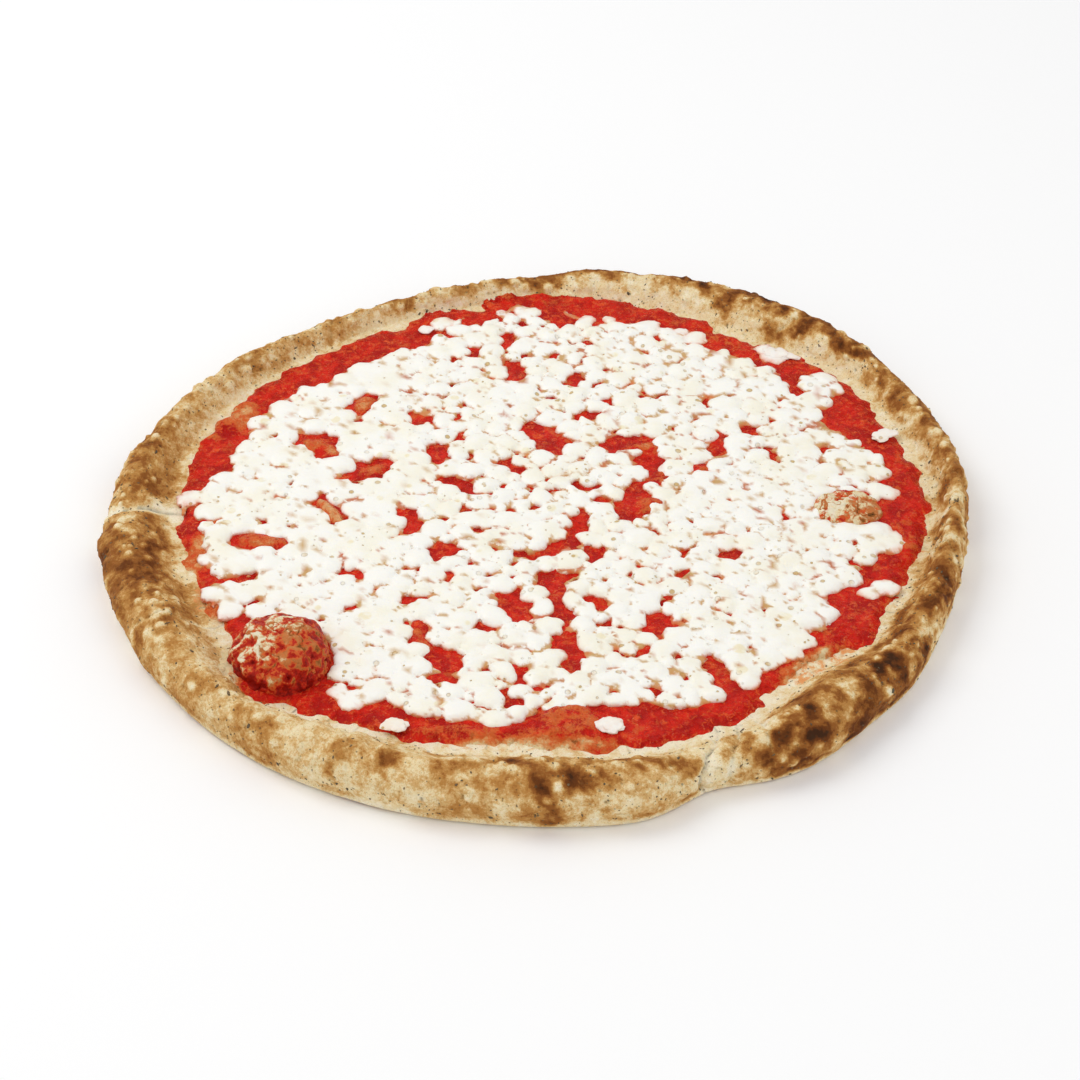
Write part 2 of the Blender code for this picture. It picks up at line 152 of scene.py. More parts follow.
# Further small gaps in the mozzarella, most of them finer than those of the solid sheet: ovals.
SMALL_GAPS = [
    (-16, 79.5, 5, 1.5, 10), (-69, 17, 5, 1.8, 10), (-31, 57, 4, 1, 80), (-31, 40, 3, 1.2, 20),
    (-35, 17, 4, 1.8, 20), (-17, 8, 7, 1, 5), (5, 35, 5, 2.6, -60), (-9, 32, 3, 1.3, -45),
    (-53, 11, 3.5, 1.3, -60), (-106, 9, 2, 1.2, 70), (-36, 107, 7, 2, -30), (-27, 66, 2, 0.8, 60),
    (-48, 57, 4, 0.7, 100), (-90, 66, 3, 0.8, 20), (-88, 22, 3, 0.7, 40), (-97, 27, 4, 0.7, 60),
    (5, 121, 9, 2.5, 95), (18, 101, 3, 1.5, -20), (3.5, 95.5, 3.5, 1.2, 85), (12, 90, 3, 1, 5),
    (44, 107, 3, 1.5, 60), (20, 56, 2.5, 1.1, -70), (21.5, 65, 3, 1.1, 30), (38, 69, 3, 1.5, -30),
    (59, 63, 5, 1.1, 85), (25.5, 44, 4, 1.6, 85), (50, 26, 4, 1.3, -30), (80, 31, 4, 1.2, -60),
    (99, 34, 3, 1.8, 0), (64, 28, 3, 1, -40), (111, 8, 3, 2.2, 0), (20.5, 5, 3, 1.1, -30),
    (14.5, 11.5, 4, 0.9, 0), (6, 25.5, 4, 1.1, -50), (45, 67, 2, 1, 20), (52, 50, 2.5, 1, 60),
    (30, 75, 2.5, 0.8, 40), (85, 60, 6, 1.2, 75), (84, 52, 4, 0.8, 150), (72, 72, 1.6, 1, 0),
    (12, 55, 3, 0.9, 60), (2, 66, 3, 0.8, 80), (68, 68, 2, 0.7, 110), (100, 56, 3, 1, 70),
    (47, -26, 4, 1.2, 90), (37, -14, 3, 1.1, 90), (6, -38, 5, 1.8, 20), (5, -66, 5, 1.6, 80),
    (33, -75, 6, 1.6, 45), (23, -64, 4, 1.1, 5), (42, -49, 4, 1.2, 0), (60.5, -58, 3, 1.6, 60),
    (33, -32.5, 4, 0.9, -10), (31.5, -40, 4, 1, -60), (55, -92, 7, 2, -70), (35, -95.5, 4, 1.5, -20),
    (82, -4, 3, 1.8, -60), (104.5, -30, 4, 1.7, -50), (24, -77, 3, 1.2, 70), (46, -36, 3, 0.8, 40),
    (29, -19, 2.5, 0.8, 100), (14, -41, 4, 0.7, 0), (70, -73, 2.5, 1, 50), (57, -54, 2, 0.8, 120),
    (20, -97, 3, 0.8, 10), (43, -61, 2.5, 0.6, 20), (21, -40, 1.6, 0.8, 0), (16, -62, 4, 0.7, 80),
    (-29, -1, 3, 1.8, -40), (-21, -12.5, 4, 1.1, -15), (-6, -26.5, 5, 1.5, -25), (-10, -37.5, 3, 1, 40),
    (-15, -44.5, 7, 1.1, 0), (-33, -89.5, 7, 2, 0), (-3, -94, 2.5, 1.5, 0), (-18, -88, 4, 1, -50),
    (-11, -101, 5, 1.5, -50), (-52, -88, 3.5, 1.5, -20), (-47.5, -97.5, 3.5, 1.4, 20),
    (-57, -45, 4.5, 0.9, 30), (-46, -50.5, 4, 1.8, 10), (-66, -53.5, 4, 1.8, -15), (-92, -24, 5, 1.2, -60),
    (-104, -40, 9, 1.5, 5), (-97, -36, 5, 1.5, 60), (-119, -8, 8, 1.6, 0), (-25, -30, 2.5, 0.8, 60),
    (-19, -36, 3, 1, 20), (-26, -55, 2, 1, 60), (-22, -60, 3, 0.9, 120), (-51, -72, 2, 1, 90),
    (-12, -80, 3, 0.9, 70), (-47, -33, 3, 0.8, 80), (-44, -38, 2.5, 0.7, 130), (-98, -51, 3, 1.2, 100),
    (-60, -30, 2, 0.7, 60), (-5, 12, 3, 0.8, 150), (-2, 2, 3, 0.9, 20), (-42, 8, 3, 0.8, 10),
    (-10, 60, 3, 0.7, 20), (-19, 40, 3, 0.8, 60), (-24, 27, 2, 1, 20), (8, 45, 3, 0.9, 20),
    (-52, 40, 2, 0.7, 80), (24, -105.5, 14, 4.5, 4), (52, -104, 12, 3.5, 22),
]

# Tongues of mozzarella beyond the sheet's plan, out over the sauce and the rim's slope: ovals.
CHEESE_TONGUES = [
    (102, 76, 10, 6, -50), (85, 97, 8, 2.6, -20), (116, 9, 6, 4.5, 30), (117, -20, 7, 6, 80),
    (111, -44, 8, 3, 15), (-124, 3, 6, 2.5, 80), (-112, -30, 6, 5, 80), (-36, 118, 9, 4, 10),
    (-10, 123, 11, 5.5, 20), (13, 119.5, 9, 2.8, 126), (52, 107, 9, 4, -20), (26, 116, 13, 5, -10),
    (46, 110, 11, 5, -25), (-32, -105, 10, 5, 5), (-63, -98, 8, 5, -25),
]

# Places where the sauce climbs the rim's slope: ovals.
SAUCE_CLIMBS = [
    (-4, 131, 19, 6.5, 3), (-35, 122, 14, 5, 14), (24, 130, 16, 5, -10), (50, 120, 15, 5, -27),
    (93, 90, 12, 5, -46),
]

# Places where the sauce is a thin orange film: an oval, strength.
THIN_SAUCE = [
    (-3, -119, 27, 4.5, 0, 0.90), (84, -82, 13, 5, 42, 1.00), (-110, 55, 9, 7, 120, 0.85),
    (-4, 136, 18, 3, 3, 0.30), (66, 105, 12, 5, -30, 0.35), (-116, -22, 17, 5, 80, 0.95),
    (-110, -52, 10, 4.5, 110, 0.85), (-105, -84, 21, 8, 100, 1.70), (-97, -102, 10, 5, 135, 1.30),
]

# Melted dice: (radius mm, least distance from another's middle as a share of both radii, least depth
# of its middle inside the sheet as a share of its radius, tries).
DICE_PASSES = [
    (4.8, 0.80, 0.60, 9000),
    (4.1, 0.76, 0.64, 14000),
    (3.3, 0.74, 0.80, 20000),
    (2.4, 0.76, 1.00, 22000),
]
LARGEST_DICE = DICE_PASSES[0][0]
DICE_HEIGHT = 2.4
DICE_REACH = FIELD_HALF - 8

# The two blisters: an oval, share of sauce film, browning.
BLISTERS = {
    "large": (-85.0, -80.5, 17.6, 16.9, 100, 0.78, 0.28),
    "small": (104.5, -0.8, 12.2, 10.6, 175, 0.38, 0.20),
}
BLISTER_SQUARENESS = 2.5  # 2 is a plain dome; more has steeper sides and a flatter top
BLISTER_SIZE = 18  # mm, the half width that the lumps' and cracks' sizes are given for

# The stage, in metres.
FLOOR_HALF = 6.0
FLOOR_LEVEL = -0.0002
FLOOR_WHITE = (0.975, 0.975, 0.975, 1)
FLOOR_WHITER = (0.985, 0.985, 0.985, 1)
WORLD_STRENGTH = 0.73
# Each lamp's name, place, watts and width.
LAMPS = [("key", (-0.9, 0.35, 1.3), 8.0, 0.9), ("fill", (0.9, -0.9, 1.1), 3.0, 1.2)]
CAMERA_TARGET = Vector((-0.0017, -0.0069, 0.0))
CAMERA_DISTANCE = 0.882
CAMERA_ELEVATION = 38.0  # degrees
LENS = 85.0  # mm
SENSOR_WIDTH = 36.0  # mm


# Colours.


def tone(red, green, blue):
    """A linear RGBA colour from the 8-bit sRGB values that a colour picker shows."""
    def linear(value):
        value /= 255
        return value / 12.92 if value <= 0.04045 else ((value + 0.055) / 1.055) ** 2.4

    return (linear(red), linear(green), linear(blue), 1.0)


DOUGH_CREAM = tone(247, 235, 206)
DOUGH_PALE = tone(237, 215, 168)
DOUGH_TAN = tone(217, 176, 115)
DOUGH_GOLD = tone(188, 134, 70)
DOUGH_BROWN = tone(147, 90, 40)
DOUGH_DARK = tone(106, 58, 24)
DOUGH_CHAR = tone(68, 40, 22)
BRAN = tone(78, 68, 50)
BRAN_DUST = tone(150, 132, 96)
BRAN_PALE = tone(122, 98, 66)
BLISTER_ORANGE = tone(204, 124, 68)
BLISTER_RED = tone(192, 40, 22)
BLISTER_DEEP = tone(148, 22, 14)
SAUCE_DEEP = tone(182, 18, 10)
SAUCE_RED = tone(222, 36, 18)
SAUCE_PAINTED_LIGHT = tone(234, 88, 40)
SAUCE_PEACH = tone(232, 160, 100)
SAUCE_PAINTED_GLINT = tone(246, 166, 128)
SAUCE_ORANGE = tone(222, 104, 48)
CHEESE_WHITE = tone(251, 249, 241)
CHEESE_CREAM = tone(247, 241, 220)
CHEESE_TOAST = tone(202, 166, 94)
CHEESE_HALO = tone(236, 220, 170)
SEAM_TAN = tone(200, 156, 90)
SEAM_RUST = tone(192, 104, 56)


# Noise and fields.


def gradient_noise(x, y, z, seed):
    """Smooth noise of about -1 to 1 for arrays of places, one unit to a cell."""
    rng = np.random.default_rng(seed)
    order = rng.permutation(256)
    order = np.concatenate([order, order])
    directions = rng.normal(size=(256, 3))
    directions /= np.linalg.norm(directions, axis=1, keepdims=True)
    cells = [np.floor(axis).astype(np.int64) for axis in (x, y, z)]
    parts = [axis - cell for axis, cell in zip((x, y, z), cells)]
    cells = [cell & 255 for cell in cells]
    blends = [part ** 3 * (part * (part * 6 - 15) + 10) for part in parts]
    total = np.zeros_like(parts[0])
    for corner in range(8):
        steps = (corner & 1, corner >> 1 & 1, corner >> 2)
        key = order[(cells[0] + steps[0]) & 255]
        key = order[(key + cells[1] + steps[1]) & 255]
        key = order[(key + cells[2] + steps[2]) & 255]
        slope = directions[key]
        value = sum(slope[..., i] * (parts[i] - steps[i]) for i in range(3))
        for i in range(3):
            value = value * (blends[i] if steps[i] else 1 - blends[i])
        total += value
    return total * 1.6


def fractal(x, y, z, size, seed, octaves=3):
    """Layered noise whose largest features are size mm apart."""
    total, weight = 0.0, 1.0
    for octave in range(octaves):
        scale = 2.03 ** octave / size
        total = total + weight * gradient_noise(x * scale, y * scale, z * scale, seed + octave)
        weight *= 0.5
    return total


def flat_noise(x, y, size, seed, octaves=2):
    """Layered noise over the pizza's plan."""
    return fractal(x, y, x * 0, size, seed, octaves)


def ease(low, high, value):
    """A smooth step from 0 to 1 as the value goes from low to high."""
    share = np.clip((value - low) / (high - low), 0, 1)
    return share * share * (3 - 2 * share)


def turned(x, y, turn):
    """Places as seen from axes turned by an angle in radians: along the new x, and across it."""
    return x * math.cos(turn) + y * math.sin(turn), y * math.cos(turn) - x * math.sin(turn)


def oval_distance(x, y, oval):
    """About how far in mm places lie outside an oval."""
    cx, cy, length, width, direction = oval[:5]
    along, across = turned(x - cx, y - cy, math.radians(direction))
    reach = np.sqrt((along / length) ** 2 + (across / width) ** 2) + 1e-6
    slope = np.sqrt((along / length ** 2) ** 2 + (across / width ** 2) ** 2) / reach + 1e-6
    return (reach - 1) / slope


def field_axes():
    """The x and y in mm of the grid's points."""
    count = int(2 * FIELD_HALF / CELL) + 1
    line = (np.arange(count) - (count - 1) / 2) * CELL
    return np.meshgrid(line, line, indexing="ij")


def drop_rays(tree, x, y):
    """Heights in mm where vertical rays from above meet a tree in metres, or NaN."""
    heights = np.full(x.shape, np.nan)
    down = Vector((0, 0, -1))
    flat = heights.reshape(-1)
    for index, (px, py) in enumerate(zip(x.ravel() * MM, y.ravel() * MM)):
        hit = tree.ray_cast(Vector((px, py, RAY_START)), down)[0]
        if hit:
            flat[index] = hit.z / MM
    return heights


def tree_of(obj):
    """A tree of a piece's faces, for rays in metres."""
    points = [vertex.co for vertex in obj.data.vertices]
    return BVHTree.FromPolygons(points, [face.vertices for face in obj.data.polygons])


def depth_inside(x, y, inside):
    """Signed distance in mm of every grid place from the edge of a mask, positive inside it."""
    edge = np.zeros_like(inside)
    edge[:-1] |= inside[:-1] != inside[1:]
    edge[:, :-1] |= inside[:, :-1] != inside[:, 1:]
    places = np.argwhere(edge)
    tree = KDTree(len(places))
    for index, (i, j) in enumerate(places):
        tree.insert((x[i, j] + CELL / 2, y[i, j] + CELL / 2, 0), index)
    tree.balance()
    distance = np.array([tree.find((px, py, 0))[2] for px, py in zip(x.ravel(), y.ravel())])
    return distance.reshape(x.shape) * np.where(inside, 1, -1)


def well_ground(x, y, dough):
    """Heights of the dough under the sauce: the well's floor, and the rim's slope round it."""
    ground = np.full(x.shape, WELL_FLOOR)
    radius = np.hypot(x, y)
    near = (radius > SLOPE_RADII[0]) & (radius < SLOPE_RADII[1])
    ground[near] = drop_rays(tree_of(dough), x[near], y[near])
    return np.fmax(ground, WELL_FLOOR)


def look_up(field, px, py):
    """The field's values at places in mm, between its grid points."""
    half = (field.shape[0] - 1) / 2
    i = np.clip(np.asarray(px) / CELL + half, 0, field.shape[0] - 1.001)
    j = np.clip(np.asarray(py) / CELL + half, 0, field.shape[1] - 1.001)
    a, b = i.astype(int), j.astype(int)
    u, v = i - a, j - b
    low = field[a, b] * (1 - v) + field[a, b + 1] * v
    high = field[a + 1, b] * (1 - v) + field[a + 1, b + 1] * v
    return low * (1 - u) + high * u


# Making meshes.


def new_object(name, data):
    """An object in the scene that holds a mesh, lamp or camera."""
    obj = bpy.data.objects.new(name, data)
    bpy.context.scene.collection.objects.link(obj)
    return obj


def make_object(name, points, faces, material):
    """A smooth-shaded piece from points in mm, which rides on the pizza's one body."""
    mesh = bpy.data.meshes.new(name)
    mesh.from_pydata((np.asarray(points) * MM).tolist(), [], faces)
    mesh.update()
    mesh.shade_smooth()
    mesh.materials.append(material)
    obj = new_object(name, mesh)
    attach(obj, "root")
    return obj


def ball(subdivisions):
    """The points of a sphere of radius 1, and its triangles."""
    shape = bmesh.new()
    bmesh.ops.create_icosphere(shape, subdivisions=subdivisions, radius=1.0)
    points = np.array([vertex.co for vertex in shape.verts])
    faces = [[vertex.index for vertex in face.verts] for face in shape.faces]
    shape.free()
    return points, faces


def add_attribute(obj, name, values):
    attribute = obj.data.attributes.new(name, "FLOAT", "POINT")
    attribute.data.foreach_set("value", np.asarray(values, np.float32))


def solid_between(bottom, top):
    """Points in mm and faces of the closed solid between two height fields, where top > bottom."""
    low = np.nanmin(bottom) - 2 * LAYER
    levels = np.arange(low, np.nanmax(top) + 2 * LAYER, LAYER)
    outside = np.maximum(levels - top[..., None], bottom[..., None] - levels)
    grid = openvdb.FloatGrid(FAR_OUTSIDE)
    grid.copyFromArray(np.clip(outside, -FAR_OUTSIDE, FAR_OUTSIDE).astype(np.float32))
    points, triangles, quads = grid.convertToPolygons(0.0, ADAPTIVITY)
    half = (top.shape[0] - 1) / 2
    points = (points - (half, half, 0)) * (CELL, CELL, LAYER) + (0, 0, low)
    return points, triangles.tolist() + quads.tolist()


# Materials.


class Nodes:
    """Short ways to add and join the nodes of one material."""

    def __init__(self, name):
        self.material = bpy.data.materials.new(name)
        self.material.use_nodes = True
        self.tree = self.material.node_tree
        self.shader = self.tree.nodes["Principled BSDF"]
        self.place = self.tree.nodes.new("ShaderNodeTexCoord").outputs["Object"]

    def put(self, socket, value):
        """Sets a socket to a plain value, or joins it to another node's output."""
        if isinstance(value, bpy.types.NodeSocket):
            self.tree.links.new(value, socket)
        else:
            socket.default_value = value

    def add(self, kind, settings=None, **inputs):
        node = self.tree.nodes.new("ShaderNode" + kind)
        for name, value in (settings or {}).items():
            setattr(node, name, value)
        for name, value in inputs.items():
            self.put(node.inputs[name.replace("_", " ")], value)
        return node

    def attribute(self, name):
        return self.add("Attribute", {"attribute_name": name}).outputs["Fac"]

    def noise(self, size, detail=4.0, roughness=0.55, distortion=0.0):
        """Noise of about 0 to 1 with features of that size in mm."""
        node = self.add(
            "TexNoise", Vector=self.place, Scale=1 / (size * MM), Detail=detail,
            Roughness=roughness, Distortion=distortion,
        )
        return node.outputs["Fac"]

    def cells(self, size):
        """Voronoi cells of that size in mm: the distance to the nearest point, and its colour."""
        node = self.add("TexVoronoi", Vector=self.place, Scale=1 / (size * MM))
        return node.outputs["Distance"], node.outputs["Color"]

    def math(self, operation, first, second):
        node = self.add("Math", {"operation": operation})
        self.put(node.inputs[0], first)
        self.put(node.inputs[1], second)
        return node.outputs[0]

    def times(self, first, second):
        return self.math("MULTIPLY", first, second)

    def ramp(self, value, low, high, to_low=0.0, to_high=1.0):
        """A smooth step from to_low to to_high as the value goes from low to high."""
        node = self.add("MapRange", {"interpolation_type": "SMOOTHSTEP"})
        for socket, number in zip(node.inputs, (value, low, high, to_low, to_high)):
            self.put(socket, number)
        return node.outputs["Result"]

    def vary(self, value, noise, low, high, amount):
        """The value, moved from -amount to +amount as the noise goes from low to high."""
        return self.math("ADD", value, self.ramp(noise, low, high, -amount, amount))

    def mix(self, share, first, second):
        node = self.add("Mix", {"data_type": "RGBA"})
        self.put(node.inputs["Factor"], share)
        colours = [socket for socket in node.inputs if socket.type == "RGBA"]
        self.put(colours[0], first)
        self.put(colours[1], second)
        return [socket for socket in node.outputs if socket.type == "RGBA"][0]

    def tint(self, colour, value, *steps):
        """The colour under tints (low, high, tint), each laid on as the value goes from low to high."""
        for low, high, tint in steps:
            colour = self.mix(self.ramp(value, low, high), colour, tint)
        return colour

    def bumps(self, *layers):
        """The normal under bumps (height, distance in mm, strength), each on the one before."""
        normal = None
        for height, distance, strength in layers:
            node = self.add("Bump", Strength=strength, Distance=distance * MM)
            self.put(node.inputs["Height"], height)
            if normal:
                self.put(node.inputs["Normal"], normal)
            normal = node.outputs["Normal"]
        return normal

    def finish(self, colour, roughness, normal, **uniform):
        """The material, with these and any other inputs of its shader set."""
        self.put(self.shader.inputs["Base Color"], colour)
        self.put(self.shader.inputs["Roughness"], roughness)
        self.put(self.shader.inputs["Normal"], normal)
        for name, value in uniform.items():
            self.put(self.shader.inputs[name.replace("_", " ")], value)
        return self.material


def spots(nodes, size, radius, share):
    """A mask of small spots: cells of that size, that share of which hold a spot of that radius."""
    distance, colour = nodes.cells(size)
    parts = nodes.add("SeparateColor", Color=colour)
    reach = nodes.times(parts.outputs["Green"], radius / size)
    reach = nodes.math("ADD", reach, 0.35 * radius / size)
    spot = nodes.math("SUBTRACT", reach, distance)
    spot = nodes.ramp(spot, 0.0, 0.4 * radius / size)
    present = nodes.math("LESS_THAN", parts.outputs["Red"], share)
    return nodes.times(spot, present)


def dough_material():
    """Baked dough: cream to gold, browned where the browning attribute is high, with bran flecks, and dark
    pores and fold cracks, the cracks partly painted shade.
    """
    nodes = Nodes("baked_dough")
    browning = nodes.attribute("browning")
    smear = nodes.attribute("smear")
    middle, fine = nodes.noise(3.4, 5.0, 0.66, 0.4), nodes.noise(1.0, 4.0, 0.7)
    grain = nodes.noise(0.45, 3.0, 0.7)
    heat = nodes.vary(browning, middle, 0.25, 0.75, 0.19)
    heat = nodes.vary(heat, fine, 0.25, 0.75, 0.14)
    heat = nodes.vary(heat, grain, 0.25, 0.75, 0.06)
    colour = nodes.tint(
        DOUGH_CREAM, heat,
        (-0.30, 0.02, DOUGH_PALE), (0.00, 0.24, DOUGH_TAN), (0.20, 0.46, DOUGH_GOLD),
        (0.44, 0.80, DOUGH_BROWN), (0.80, 1.20, DOUGH_DARK), (1.20, 1.70, DOUGH_CHAR),
    )
    stain = nodes.vary(smear, middle, 0.3, 0.7, 0.25)
    colour = nodes.tint(colour, stain, (0.25, 0.55, SAUCE_PEACH), (0.55, 0.90, SAUCE_ORANGE))
    flecks = nodes.math("MAXIMUM", spots(nodes, 3.4, 0.42, 0.50), spots(nodes, 1.7, 0.28, 0.50))
    colour = nodes.mix(nodes.times(flecks, 0.62), colour, BRAN)
    # Dark pores, and the folds' crack lines, which are partly painted shade, in the bran colour.
    colour = nodes.mix(nodes.times(nodes.attribute("pores"), 0.55), colour, BRAN)
    dust = nodes.times(nodes.ramp(grain, 0.56, 0.70), nodes.ramp(heat, 0.7, 0.0, 0.0, 0.55))
    colour = nodes.mix(dust, colour, BRAN_DUST)
    normal = nodes.bumps((middle, 0.9, 0.6), (fine, 0.45, 0.7), (grain, 0.16, 0.6))
    roughness = nodes.ramp(fine, 0.3, 0.7, 0.62, 0.85)
    return nodes.finish(
        colour, roughness, normal, Subsurface_Weight=0.05, Subsurface_Scale=0.002,
        Specular_IOR_Level=0.07,
    )


def sauce_material():
    """Cooked tomato: wet red pulp, orange where the thin attribute is high and dough shows, with painted
    shade and light on its lumps and painted glints.
    """
    nodes = Nodes("tomato_sauce")
    thin = nodes.attribute("thin")
    broad, middle, fine = nodes.noise(7), nodes.noise(2.4, 5.0, 0.65, 0.8), nodes.noise(0.7, 4.0, 0.65)
    colour = nodes.tint(SAUCE_DEEP, broad, (0.36, 0.60, SAUCE_RED))
    # Painted shade and light on the lumps: darker red in the low places of the bump noise, brighter on its
    # high places.
    colour = nodes.tint(colour, middle, (0.46, 0.30, SAUCE_DEEP), (0.50, 0.68, SAUCE_PAINTED_LIGHT))
    oily = nodes.ramp(nodes.noise(5.0, 5.0, 0.65, 0.6), 0.56, 0.68, 0.0, 0.55)
    colour = nodes.mix(oily, colour, SAUCE_ORANGE)
    # Painted highlights: small pale glints on the lumps' high places.
    painted_glint = nodes.times(nodes.ramp(fine, 0.58, 0.70), nodes.ramp(middle, 0.46, 0.60))
    colour = nodes.mix(nodes.times(painted_glint, 0.7), colour, SAUCE_PAINTED_GLINT)
    stretch = nodes.vary(thin, nodes.noise(4.0, 3.0, 0.6), 0.3, 0.7, 0.30)
    stretch = nodes.vary(stretch, fine, 0.3, 0.7, 0.14)
    colour = nodes.tint(
        colour, stretch,
        (0.24, 0.66, SAUCE_ORANGE), (0.70, 1.10, SAUCE_PEACH), (1.10, 1.50, DOUGH_PALE),
    )
    burnt = nodes.times(nodes.ramp(nodes.noise(3.0, 5.0, 0.6), 0.60, 0.72), thin)
    colour = nodes.mix(burnt, colour, DOUGH_BROWN)
    normal = nodes.bumps((middle, 1.4, 0.9), (fine, 0.45, 0.8))
    roughness = nodes.ramp(fine, 0.3, 0.7, 0.14, 0.34)
    return nodes.finish(
        colour, roughness, normal, Subsurface_Weight=0.04, Subsurface_Scale=0.002,
        Specular_IOR_Level=0.11,
    )


def cheese_material():
    """Melted mozzarella: creamy white, with toasted tan pits, tan and rust seams that are partly sauce and
    partly painted shade between the dice, and a soft sheen.
    """
    nodes = Nodes("mozzarella")
    crease, thin = nodes.attribute("crease"), nodes.attribute("thin")
    broad, middle, fine = nodes.noise(13), nodes.noise(3.2, 4.0, 0.6), nodes.noise(0.8, 3.0, 0.6)
    colour = nodes.mix(nodes.ramp(broad, 0.42, 0.68, 0.0, 0.7), CHEESE_WHITE, CHEESE_CREAM)
    patchy = nodes.ramp(nodes.noise(14, 3.0), 0.44, 0.58, 0.25, 1.0)
    halo = nodes.times(spots(nodes, 8.5, 2.0, 0.45), nodes.ramp(middle, 0.35, 0.60, 0.15, 0.60))
    colour = nodes.mix(halo, colour, CHEESE_HALO)
    pits = nodes.math("MAXIMUM", spots(nodes, 4.6, 0.95, 0.60), spots(nodes, 2.7, 0.45, 0.35))
    toast = nodes.times(pits, patchy)
    colour = nodes.mix(nodes.times(toast, 0.85), colour, CHEESE_TOAST)
    # The seams' tan and rust tint: partly sauce and browning between the dice, partly painted shade in the
    # creases.
    line = nodes.times(crease, nodes.ramp(middle, 0.28, 0.48))
    seam_stain_and_shade = nodes.tint(SEAM_TAN, nodes.noise(9), (0.46, 0.62, SEAM_RUST))
    colour = nodes.mix(nodes.times(line, 0.95), colour, seam_stain_and_shade)
    blush = nodes.times(thin, nodes.ramp(middle, 0.35, 0.65, 0.25, 0.80))
    colour = nodes.mix(blush, colour, SAUCE_ORANGE)
    dents = nodes.times(pits, -1.0)
    normal = nodes.bumps((dents, 0.45, 0.8), (middle, 0.45, 0.5), (fine, 0.10, 0.4))
    roughness = nodes.ramp(middle, 0.3, 0.7, 0.30, 0.50)
    return nodes.finish(
        colour, roughness, normal, Subsurface_Weight=0.15, Subsurface_Scale=0.0015,
        Subsurface_Radius=(1.0, 0.9, 0.7), Specular_IOR_Level=0.3,
    )


def blister_material():
    """A dough blister streaked with sauce: cream, gold and dark cracks under a patchy red film, with
    painted shade on its right side and a paler, painted-lit top.
    """
    nodes = Nodes("blister_dough")
    film, browning = nodes.attribute("film"), nodes.attribute("browning")
    middle, fine = nodes.noise(2.0, 6.0, 0.72, 1.0), nodes.noise(0.8, 4.0, 0.7)
    heat = nodes.vary(browning, middle, 0.3, 0.7, 0.22)
    colour = nodes.tint(
        DOUGH_CREAM, heat, (-0.10, 0.14, DOUGH_PALE), (0.10, 0.34, BLISTER_ORANGE),
        (0.46, 0.80, DOUGH_BROWN), (0.90, 1.25, DOUGH_CHAR),
    )
    cover = nodes.vary(film, nodes.noise(3.3, 3.0, 0.60, 0.3), 0.3, 0.7, 0.56)
    cover = nodes.vary(cover, fine, 0.3, 0.7, 0.12)
    colour = nodes.tint(
        colour, cover,
        (0.25, 0.55, SAUCE_ORANGE), (0.50, 0.85, BLISTER_RED), (0.95, 1.30, BLISTER_DEEP),
    )
    normal = nodes.bumps((middle, 1.0, 0.8), (fine, 0.35, 0.7))
    roughness = nodes.ramp(cover, 0.4, 0.8, 0.65, 0.25)
    return nodes.finish(
        colour, roughness, normal, Subsurface_Weight=0.04, Subsurface_Scale=0.002,
        Specular_IOR_Level=0.12,
    )


def fleck_material():
    """Bran: dark flakes, paler in places."""
    nodes = Nodes("bran_flecks")
    shade = nodes.noise(1.5)
    colour = nodes.tint(BRAN, shade, (0.35, 0.65, BRAN_PALE))
    return nodes.finish(colour, 0.8, nodes.bumps((shade, 0.1, 1.0)))


# The dough.


def rim_section(tree):
    """The dough's section at every angle: (radius, height) in mm from the rim's foot inside the well,
    over the crest and down to the base, as an array of angles by rings."""
    sections = np.zeros((COARSE_ANGLES, SECTION_RAYS, 2))
    for index in range(COARSE_ANGLES):
        angle = math.tau * index / COARSE_ANGLES
        outward = Vector((math.cos(angle), math.sin(angle), 0))
        start = outward * 0.2 + Vector((0, 0, CORE_HEIGHT * MM))
        reach = tree.ray_cast(start, -outward)[0]
        core = reach - outward * CORE_INSET * MM
        rays = np.linspace(foot_slope(tree, core, outward), math.radians(LAST_RAY), SECTION_RAYS)
        for step, slope in enumerate(rays):
            way = sloping(outward, slope)
            hit = tree.ray_cast(core, way)[0] or tree.ray_cast(core, way + NUDGE)[0]
            sections[index, step] = (Vector((hit.x, hit.y)).length / MM, hit.z / MM)
    kernel = np.exp(-0.5 * (np.arange(-4, 5) / 1.6) ** 2)
    kernel /= kernel.sum()
    wrapped = np.concatenate([sections[-4:], sections, sections[:4]])
    sections = sum(weight * wrapped[i : i + COARSE_ANGLES] for i, weight in enumerate(kernel))
    return respace(sections)


def sloping(outward, slope):
    """A direction that many radians up from a level one."""
    return outward * math.cos(slope) + Vector((0, 0, math.sin(slope)))


def foot_slope(tree, core, outward):
    """The direction, in radians up from outward, in which the core looks at the rim's inner foot."""
    best = math.radians(FIRST_RAYS[0])
    for slope in np.radians(np.arange(*FIRST_RAYS)):
        hit, _, _, distance = tree.ray_cast(core, sloping(outward, slope))
        if hit and hit.z / MM > WELL_FLOOR + 0.1 and distance / MM < LONGEST_FOOT_RAY:
            best = slope
    return best


